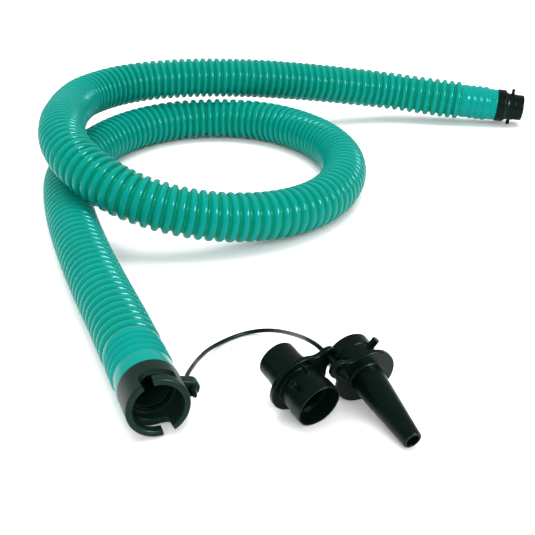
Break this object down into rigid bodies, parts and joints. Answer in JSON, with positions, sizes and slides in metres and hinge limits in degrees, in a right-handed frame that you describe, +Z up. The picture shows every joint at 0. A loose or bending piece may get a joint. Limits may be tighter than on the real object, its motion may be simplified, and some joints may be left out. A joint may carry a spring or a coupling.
{
  "type": "pump inflation hose set",
  "caption": "Corrugated inflation hose of a double action hand pump with a bayonet socket, a bayonet spigot, and a valve adapter and a cone nozzle held on a tether.",
  "frame": {"origin": "on the floor, under the middle of the set's bounding box", "axes": "+Z up; +Y from the hose's socket end towards the back of its loop; +X towards the spigot end"},
  "size_m": [0.4218, 0.5521, 0.0795],
  "materials": {
    "hose": "glossy moulded corrugated plastic, teal",
    "cuff": "smooth moulded plastic, teal",
    "fitting": "satin moulded plastic, near black",
    "adapter": "satin moulded plastic, near black",
    "tether": "satin flexible plastic, near black",
    "seal": "matte soft rubber"
  },
  "bodies": {
    "hose_set": {"hose_tube": "hose", "socket_cuff": "cuff", "spigot_cuff": "cuff", "socket": "fitting", "socket_seal": "seal", "spigot": "fitting"},
    "tether": {"tether_strap": "tether", "tether_lug_pin": "tether", "tether_adapter_pin": "tether"},
    "valve_adapter": {"valve_adapter": "adapter"},
    "cone_nozzle": {"cone_nozzle": "adapter"}
  },
  "joints": [
    {"name": "tether_swing", "type": "hinge", "parent": "hose_set", "child": "tether", "pos_m": [-0.07194, -0.24399, 0.0175], "axis": [0.342, -0.9397, 0], "range_deg": [0, 90]},
    {"name": "valve_adapter_swing", "type": "hinge", "parent": "tether", "child": "valve_adapter", "pos_m": [-0.00096, -0.2345, 0.02922], "axis": [-0.5135, 0.8218, 0.247], "range_deg": [0, 70]},
    {"name": "cone_nozzle_swing", "type": "hinge", "parent": "tether", "child": "cone_nozzle", "pos_m": [-0.00096, -0.2345, 0.02922], "axis": [0.5135, -0.8218, -0.247], "range_deg": [0, 70]}
  ]
}
